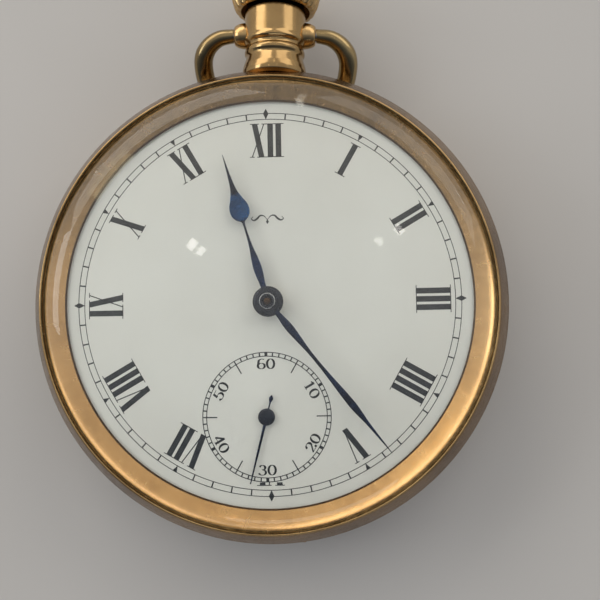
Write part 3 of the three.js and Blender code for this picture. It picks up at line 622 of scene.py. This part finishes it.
def build_crown():
    section = smooth_curve([
        (4.1, 32.02), (4.35, 32.2), (4.64, 32.8), (4.85, 33.6), (4.95, 34.4), (4.93, 35.2), (4.72, 36.1),
        (4.3, 36.9), (3.7, 37.6), (2.9, 38.1), (2.0, 38.35), (1.0, 38.5), (0, 38.55),
    ], 4)
    inside = [(0, 34.15), (3.3, 34.15), (3.62, 33.8), (3.68, 32.3), (3.78, 32.02)]

    def flutes(a, r, y):
        if r < 3.3 or y > 37.9 or (r < 4.0 and y < 34.3):
            return 0
        fade = min(1, (r - 3.3) / 1.2) * min(1, max(0, y - 32) / 0.4 + 0.35)
        return -0.26 * fade * abs(math.cos(a * 14)) ** 3

    crown = lathe("crown_onion", [*inside, *section], GOLD, 0, TO_STEM, 336, flutes, smooth=50)
    stands_for(crown, "crown_and_stem", "gold", "crown")


# ---------------------------------------------------------------- dial
INK_LOW, INK_HIGH = DIAL_TOP - 0.004, DIAL_TOP + 0.012


def bar(x0, y0, x1, y1, width):
    """A straight stroke from one point to another."""
    along = Vector((x1 - x0, y1 - y0)).normalized()
    dx, dy = -along.y * width / 2, along.x * width / 2
    return [(x0 - dx, y0 - dy), (x1 - dx, y1 - dy), (x1 + dx, y1 + dy), (x0 + dx, y0 + dy)]


def leaning(x0, x1, low, high, width):
    """A slanted stroke whose ends are cut level."""
    h = width / 2
    return [(x0 - h, low), (x0 + h, low), (x1 + h, high), (x1 - h, high)]


THICK, HAIR, SERIF = 0.58, 0.11, 0.08  # widths of the numerals' strokes
NUMERAL = (15.2, 18.78)  # radii of the numerals' feet and heads
PITCH = {"I": 0.85, "V": 1.8, "X": 1.72}  # how far apart the letters stand
MINUTE_RINGS = (19.23, 19.83)
SECOND_RINGS = (6.21, 6.61)
SMALL_DIAL = 18.45  # the small dial covers the foot of VI up to this radius


def roman_letter(letter, x):
    """The strokes of one letter whose slot is centred on x, between the numeral's two radii."""
    low, high = NUMERAL

    def serif(at, r, wide):
        return leaning(at, at, r, r + SERIF, wide)

    top = high - SERIF
    if letter == "I":
        return [leaning(x, x, low, high, THICK), serif(x, low, 1.15), serif(x, top, 1.15)]
    if letter == "V":
        thick = leaning(x + 0.05, x - 0.46, low, high, THICK)
        thin = leaning(x + 0.16, x + 0.66, low + 0.1, high, HAIR)
        return [thick, thin, serif(x - 0.46, top, 0.98), serif(x + 0.66, top, 0.5)]
    thick = leaning(x + 0.36, x - 0.36, low, high, THICK)
    thin = leaning(x - 0.64, x + 0.64, low, high, HAIR)
    feet = [serif(x + 0.36, low, 0.95), serif(x - 0.64, low, 0.5)]
    heads = [serif(x - 0.36, top, 0.95), serif(x + 0.64, top, 0.5)]
    return [thick, thin, *feet, *heads]


def turn_outline(outline, clock_degrees):
    a = -math.radians(clock_degrees)
    return [(x * math.cos(a) - y * math.sin(a), x * math.sin(a) + y * math.cos(a)) for x, y in outline]


def clip_low(outline, radius):
    """The part of a four-cornered stroke beyond a radius: its low corners slide up along its sides."""
    (x0, low), (x1, _), (x2, high), (x3, _) = outline
    share = max(0.0, (radius - low) / (high - low))
    start = max(low, radius)
    return [(x0 + (x3 - x0) * share, start), (x1 + (x2 - x1) * share, start), (x2, high), (x3, high)]


def roman(text, hour):
    width = sum(PITCH[c] for c in text)
    x = -width / 2
    outlines = []
    for c in text:
        outlines += roman_letter(c, x + PITCH[c] / 2)
        x += PITCH[c]
    if hour == 6:
        outlines = [clip_low(o, SMALL_DIAL) for o in outlines if max(y for _, y in o) > SMALL_DIAL]
    return [turn_outline(o, hour * 30) for o in outlines]


def ring_outline_piece(name, r, width, centre=Vector((0, 0, 0)), segments=200):
    near, far = r - width / 2, r + width / 2
    section = [(near, INK_LOW), (far, INK_LOW), (far, INK_HIGH), (near, INK_HIGH)]
    return lathe(name, section, INK, 0, Matrix.Translation(centre), segments)


def track_outlines():
    """A tick for each minute, a wedge for each five and a diamond for each quarter."""
    inner, outer = MINUTE_RINGS
    outlines = []
    for minute in range(60):
        if minute % 5:
            mark = bar(0, inner, 0, outer, 0.14)
        elif minute % 15:
            mark = [(0, inner - 0.02), (0.26, outer + 0.03), (-0.26, outer + 0.03)]
        else:
            mark = [(0, inner - 0.03), (0.28, outer - 0.02), (0, outer + 0.48), (-0.28, outer - 0.02)]
        outlines.append(turn_outline(mark, minute * 6))
    return outlines


def seconds_outlines():
    inner, outer = SECOND_RINGS
    outlines = []
    for second in range(60):
        if second % 10 == 0:
            mark = bar(0, inner, 0, outer, 0.3)
        elif second % 5 == 0:
            mark = bar(0, inner - 1.1, 0, outer, 0.12)
        else:
            mark = bar(0, inner, 0, outer, 0.13)
        outlines.append(turn_outline(mark, second * 6))
    return outlines


def arc(cx, cy, rx, ry, start, end, steps=14):
    points = []
    for i in range(steps + 1):
        a = math.radians(start + (end - start) * i / steps)
        points.append((cx + rx * math.cos(a), cy + ry * math.sin(a)))
    return points


DIGIT_WIDTH = 1.3  # how far the digits are stretched sideways

# Each digit's strokes, in a box 0.6 wide and 1 high.
DIGITS = {
    "0": [arc(0.3, 0.5, 0.26, 0.46, 90, 450, 28)],
    "1": [[(0.14, 0.8), (0.3, 0.95), (0.32, 0.95), (0.32, 0.04)], [(0.16, 0.03), (0.48, 0.03)]],
    "2": [[*arc(0.3, 0.7, 0.22, 0.26, 170, -30, 14), (0.08, 0.06), (0.54, 0.06), (0.56, 0.2)]],
    "3": [[*arc(0.28, 0.74, 0.2, 0.22, 160, -80, 12), *arc(0.27, 0.28, 0.26, 0.25, 80, -160, 14)]],
    "4": [[(0.42, 0.02), (0.42, 0.96), (0.04, 0.3), (0.58, 0.3)], [(0.28, 0.03), (0.54, 0.03)]],
    "5": [[(0.52, 0.94), (0.16, 0.94), (0.12, 0.54), *arc(0.28, 0.31, 0.25, 0.28, 120, -160, 16)]],
    "6": [[*arc(0.36, 0.66, 0.28, 0.3, 60, 150, 8), *arc(0.3, 0.3, 0.25, 0.27, 180, 540, 24)]],
}


def pen(points, height, offset):
    """A broad stroke along points: thick where it runs upright, a hairline where it runs level."""
    outlines = []
    for (x0, y0), (x1, y1) in zip(points, points[1:]):
        a = Vector((x0 * DIGIT_WIDTH * height + offset, (y0 - 0.5) * height))
        b = Vector((x1 * DIGIT_WIDTH * height + offset, (y1 - 0.5) * height))
        if (b - a).length < 1e-5:
            continue
        upright = abs((b - a).normalized().y)
        width = height * (0.05 + 0.16 * upright ** 1.5)
        grow = (b - a).normalized() * width * 0.18
        outlines.append(bar(a.x - grow.x, a.y - grow.y, b.x + grow.x, b.y + grow.y, width))
    return outlines


def number_outlines(text, clock_degrees, upright_out, r=5.42, height=1.08):
    outlines = []
    spacing = 0.89 * height
    for i, c in enumerate(text):
        offset = (i - len(text) / 2) * spacing + 0.04 * height
        for points in DIGITS[c]:
            outlines += pen(points, height, offset)
    placed = []
    for outline in outlines:
        if not upright_out:
            outline = [(-x, -y) for x, y in outline]
        placed.append(turn_outline([(x, y + r) for x, y in outline], clock_degrees))
    return placed


def flourish_outlines():
    """A small plain flourish under 12, the same on both sides, with no lettering."""
    half = smooth_curve([
        (1.5, 8.95), (1.68, 8.72), (1.4, 8.55), (1.05, 8.75), (0.75, 9.05), (0.35, 9.0), (0, 8.6),
    ], 8)
    outlines = []
    for i, (a, b) in enumerate(zip(half, half[1:])):
        width = 0.06 + 0.13 * math.sin(math.pi * i / (len(half) - 1)) ** 2
        for side in (-1, 1):
            outlines.append(bar(side * a[0], a[1], side * b[0], b[1], width))
    outlines.append([(0, 8.15), (0.16, 8.4), (0, 8.65), (-0.16, 8.4)])
    return outlines


def build_dial():
    disc = lathe("dial_disc", [
        (1.3, 9.12), (21.8, 9.12), (21.88, 9.3), (21.85, 9.62), (21.7, DIAL_TOP), (21.3, DIAL_TOP),
        (20.9, DIAL_TOP), (1.4, DIAL_TOP), (1.3, 9.62),
    ], ENAMEL, 0.04)
    hole_section = [(0, 8.9), (0.45, 8.9), (0.45, 9.9), (0, 9.9)]
    hole = lathe("hole", hole_section, ENAMEL, 0, Matrix.Translation(FOURTH), 48)
    cut_away(disc, hole)
    foot_section = [(0, 8.12), (0.45, 8.12), (0.45, 9.2), (0, 9.2)]
    feet = [
        lathe("foot", foot_section, BRASS, 0.05, Matrix.Translation((x, y, 0)), 24)
        for x, y in ((-15.5, 9.5), (15.5, 9.5), (9, -15.6))
    ]
    stands_for(join(disc, *feet), "case", "enamel", "dial")
    hours = ["XII", "I", "II", "III", "IIII", "V", "VI", "VII", "VIII", "IX", "X", "XI"]
    outlines = [o for hour, text in enumerate(hours) for o in roman(text, hour)]
    numerals = piece("print_hours", *slabs(outlines, INK_LOW, INK_HIGH), INK, ON_DIAL)
    marks = [*track_outlines(), *flourish_outlines()]
    track = piece("print_minutes", *slabs(marks, INK_LOW, INK_HIGH), INK, ON_DIAL)
    rings = [ring_outline_piece("ring", r, 0.07) for r in MINUTE_RINGS]
    seconds = seconds_outlines()
    for i, text in enumerate(("60", "10", "20", "30", "40", "50")):
        seconds += number_outlines(text, i * 60, i in (0, 1, 5))
    placing = Matrix.Translation(FOURTH) @ ON_DIAL
    small = piece("print_seconds", *slabs(seconds, INK_LOW, INK_HIGH), INK, placing)
    small_rings = [ring_outline_piece("ring", r, 0.085, FOURTH, 144) for r in SECOND_RINGS]
    stands_for(numerals, "case", "enamel")
    stands_for(join(track, *rings), "case", "enamel")
    stands_for(join(small, *small_rings), "case", "enamel")


# ---------------------------------------------------------------- hands
def blade(stations, low, high, steps=5):
    """Vertices and faces of a hand along +Y whose upper face is gently crowned."""
    line = smooth_curve([(s, w) for s, w in stations], steps)
    rise = high - low
    section = ((-1, 0), (-1, 0.45), (-0.7, 0.8), (0, 1), (0.7, 0.8), (1, 0.45), (1, 0))
    verts, faces = [], []
    for s, w in line:
        wide = max(w, 0.012)
        verts += [(wide * x, s, low + rise * z) for x, z in section]
    n = len(section)
    for i in range(len(line) - 1):
        for k in range(n):
            j = (k + 1) % n
            faces.append([i * n + k, i * n + j, (i + 1) * n + j, (i + 1) * n + k])
    faces.append(list(range(n)))
    faces.append([(len(line) - 1) * n + k for k in reversed(range(n))])
    return verts, faces


# The hands' half widths as (distance from the centre, half width).
HOUR = [
    (1.2, 0.28), (2.0, 0.30), (2.9, 0.40), (3.8, 0.43), (4.8, 0.34), (5.8, 0.2), (6.9, 0.13), (8.2, 0.11),
    (8.65, 0.2), (8.95, 0.62), (9.4, 0.93), (9.95, 1.02), (10.5, 0.93), (11.1, 0.66), (11.8, 0.4),
    (12.6, 0.24), (13.8, 0.14), (15.0, 0.08), (15.95, 0.03),
]
MINUTE = [
    (1.2, 0.25), (2.0, 0.28), (2.9, 0.38), (3.8, 0.40), (4.8, 0.33), (5.9, 0.24), (7.0, 0.18), (8.4, 0.18),
    (9.8, 0.22), (11.2, 0.29), (12.6, 0.35), (13.8, 0.36), (14.8, 0.28), (15.8, 0.18), (17.2, 0.12),
    (18.6, 0.07), (19.65, 0.03),
]
HOUR_ANGLE, MINUTE_ANGLE, SECOND_ANGLE = 343.6, 141.6, 194.5  # degrees clockwise from the dial's 12


def hand_turn(clock_degrees, centre=Vector((0, 0, 0))):
    return Matrix.Translation(centre) @ Matrix.Rotation(DIAL_TURN - math.radians(clock_degrees), 4, "Z")


def build_hands():
    hour = piece("hour_blade", *blade(HOUR, 10.55, 10.73), BLUED, hand_turn(HOUR_ANGLE), 60)
    # The bulb takes the lighter blue as a painted sheen; the rest of the hand stays dark.
    hour.data.materials.append(SHEEN_BLUED)
    for face in hour.data.polygons:
        if 8.8 < math.hypot(face.center.x, face.center.y) / MM < 11.6:
            face.material_index = 1
    collar_section = [
        (1.06, 10.55), (1.45, 10.55), (1.57, 10.62), (1.57, 10.84), (1.45, 10.94), (1.06, 10.94),
    ]
    collar = lathe("collar", collar_section, CHARCOAL, 0.05, segments=72)
    stands_for(join(hour, collar), "hour", "blued_steel", "hour_hand")
    minute = piece("minute_blade", *blade(MINUTE, 11.3, 11.46), BLUED, hand_turn(MINUTE_ANGLE), 60)
    collar_section = [
        (0.66, 11.3), (1.25, 11.3), (1.35, 11.36), (1.35, 11.5), (1.2, 11.6), (0.82, 11.6), (0.66, 11.54),
    ]
    collar = lathe("collar", collar_section, CHARCOAL, 0.05, segments=72)
    stands_for(join(minute, collar), "centre", "blued_steel", "minute_hand")
    second_blade = [(0, 0.15), (2, 0.13), (4, 0.11), (6.95, 0.06)]
    tail = [(0, 0.09), (-1.1, 0.07), (-1.55, 0.1), (-1.95, 0.22), (-2.3, 0.03)]
    placing = hand_turn(SECOND_ANGLE, FOURTH)
    second = piece("second_blade", *blade(second_blade, 10.0, 10.11), BLUED, placing, 60)
    counter = piece("tail", *blade(tail, 10.0, 10.11), BLUED, placing, 60)
    hub_section = [(0, 9.9), (0.7, 9.9), (0.84, 9.98), (0.88, 10.1), (0.7, 10.24), (0.2, 10.3), (0, 10.3)]
    hub = lathe("hub", hub_section, CHARCOAL, 0.04, Matrix.Translation(FOURTH), 64)
    stands_for(join(second, counter, hub), "fourth", "blued_steel", "second_hand")
    cannon = lathe("cannon_tube", [
        (0.36, 8.1), (0.92, 8.1), (0.92, 8.7), (0.62, 8.76), (0.62, 11.6), (0.8, 11.64), (0.84, 11.8),
        (0.76, 11.93), (0.5, 11.93), (0.42, 11.8), (0.36, 11.75),
    ], CHARCOAL, 0.04, segments=64)
    cannon.data.materials.append(STEEL)
    for face in cannon.data.polygons:
        r = math.hypot(face.center.x, face.center.y) / MM
        if 0.7 < r < 0.8 and face.center.z > 11.7 * MM:
            face.material_index = 1
    # The arbor's end is painted shade, dark where it sits sunk in the tube.
    arbor_section = [(0, 11.2), (0.33, 11.2), (0.33, 11.8), (0.2, 11.86), (0, 11.86)]
    arbor = lathe("arbor_end", arbor_section, SHADE_GOLD, 0.03, segments=32)
    stands_for(join(cannon, arbor), "centre", "steel", "cannon_pinion")


# ---------------------------------------------------------------- carried over from the frame
FINISHES = {
    "gold": GOLD, "brass": BRASS, "nickel": NICKEL, "steel": STEEL, "blued_steel": BLUED, "ruby": RUBY,
}
slots = {part["node"]: part["material_slot"] for part in frame["record"]["subparts"]}
BUILT = {
    "bezel", "crystal", "case_middle", "back_cover", "inner_cover", "pendant", "bow", "crown", "dial",
    "hour_hand", "minute_hand", "second_hand", "cannon_pinion",
}

build_bezel()
build_crystal()
build_middle()
build_back()
build_inner_cover()
build_pendant()
build_bow()
build_crown()
build_dial()
build_hands()
for node, thing in frame["nodes"].items():
    if node in BUILT:
        continue
    thing.data.materials.clear()
    thing.data.materials.append(FINISHES[slots[node]])
    soften(thing, 0.03)


# ---------------------------------------------------------------- floor, camera and light
floor_verts = [(-900, -900, 0), (900, -900, 0), (900, 900, 0), (-900, 900, 0)]
floor = piece("floor", [(x, y, -0.05) for x, y, _ in floor_verts], [[0, 1, 2, 3]], floor_material())

camera_data = bpy.data.cameras.new("camera")
camera_data.lens = 46.4
camera_data.sensor_width = 36
camera_data.clip_start = 0.005
camera = bpy.data.objects.new("camera", camera_data)
RIGHT = (0.99919, -0.01804, -0.03591)  # the picture's right, its top and the way back to the camera
UP = (0.02023, 0.99789, 0.06173)
BACK = (0.03473, -0.06240, 0.99745)
EYE = (6.03, -4.85, 80.22)  # the camera from the middle of the dial
turn = Matrix.Rotation(DIAL_TURN, 3, "Z")
columns = [turn @ Vector(v).normalized() for v in (RIGHT, UP, BACK)]
place = turn @ Vector(EYE) + Vector((0, 0, DIAL_TOP))
rotation = Matrix(columns).transposed().to_4x4()
camera.matrix_world = Matrix.Translation(place * MM) @ rotation
bpy.context.scene.collection.objects.link(camera)
bpy.context.scene.camera = camera


def area_light(name, at, size, power, color, target=(0, 0, 0.008)):
    data = bpy.data.lights.new(name, "AREA")
    data.shape = "RECTANGLE"
    data.size, data.size_y = size
    data.energy = power
    data.color = color
    light = bpy.data.objects.new(name, data)
    light.location = at
    light.rotation_euler = (Vector(target) - Vector(at)).to_track_quat("-Z", "Y").to_euler()
    bpy.context.scene.collection.objects.link(light)


def direction(azimuth, elevation, distance):
    a, e = math.radians(azimuth), math.radians(elevation)
    level = distance * math.cos(e)
    return (level * math.cos(a), level * math.sin(a), distance * math.sin(e))


# Soft boxes all round but for the -Y side, low enough that the dome of the crystal mirrors none of them.
area_light("far_left", direction(128, 31, 0.55), (0.5, 0.28), 0.82, (1.0, 0.93, 0.84))
area_light("far_right", direction(52, 31, 0.55), (0.5, 0.28), 0.5, (1.0, 0.95, 0.88))
area_light("left", direction(172, 33, 0.55), (0.2, 0.16), 0.30, (0.95, 0.98, 1.0))
area_light("front", direction(-80, 27, 0.6), (0.5, 0.14), 0.26, (0.96, 0.98, 1.0))
# Small lamps that the crystal and the bezel's slope mirror.
for azimuth, power in ((143.6, 0.007), (45.8, 0.005)):
    area_light("ceiling_lamp", direction(azimuth, 72.7, 0.8), (0.018, 0.014), power, (1.0, 0.96, 0.9))
area_light("yellow_lamp", direction(142, 49.5, 0.7), (0.11, 0.1), 0.035, (1.0, 0.84, 0.5))
area_light("streak_lamp", direction(89, 51, 0.7), (0.014, 0.09), 0.012, (1.0, 0.93, 0.8))


def studio_world():
    """A room that is bright toward +Y and falls off toward -Y."""
    world = bpy.data.worlds.new("studio")
    world.use_nodes = True
    tree = world.node_tree
    coords = add_node(tree, "ShaderNodeTexCoord")
    parts = add_node(tree, "ShaderNodeSeparateXYZ", {"Vector": coords.outputs["Generated"]})
    share = remap(tree, parts.outputs["Y"], 0.0, 1.0, -0.62, 0.62)
    ramp = add_node(tree, "ShaderNodeValToRGB", {"Fac": share})
    stops = (
        (0.0, (0.06, 0.07, 0.09)), (0.3, (0.19, 0.21, 0.25)), (0.52, (0.54, 0.54, 0.55)),
        (1.0, (0.64, 0.595, 0.545)),
    )
    ramp.color_ramp.elements.remove(ramp.color_ramp.elements[1])
    ramp.color_ramp.elements[0].position = stops[0][0]
    ramp.color_ramp.elements[0].color = (*stops[0][1], 1)
    for position, color in stops[1:]:
        ramp.color_ramp.elements.new(position).color = (*color, 1)
    tree.links.new(ramp.outputs["Color"], tree.nodes["Background"].inputs["Color"])
    return world


bpy.context.scene.world = studio_world()
bpy.context.scene.view_settings.view_transform = "Standard"
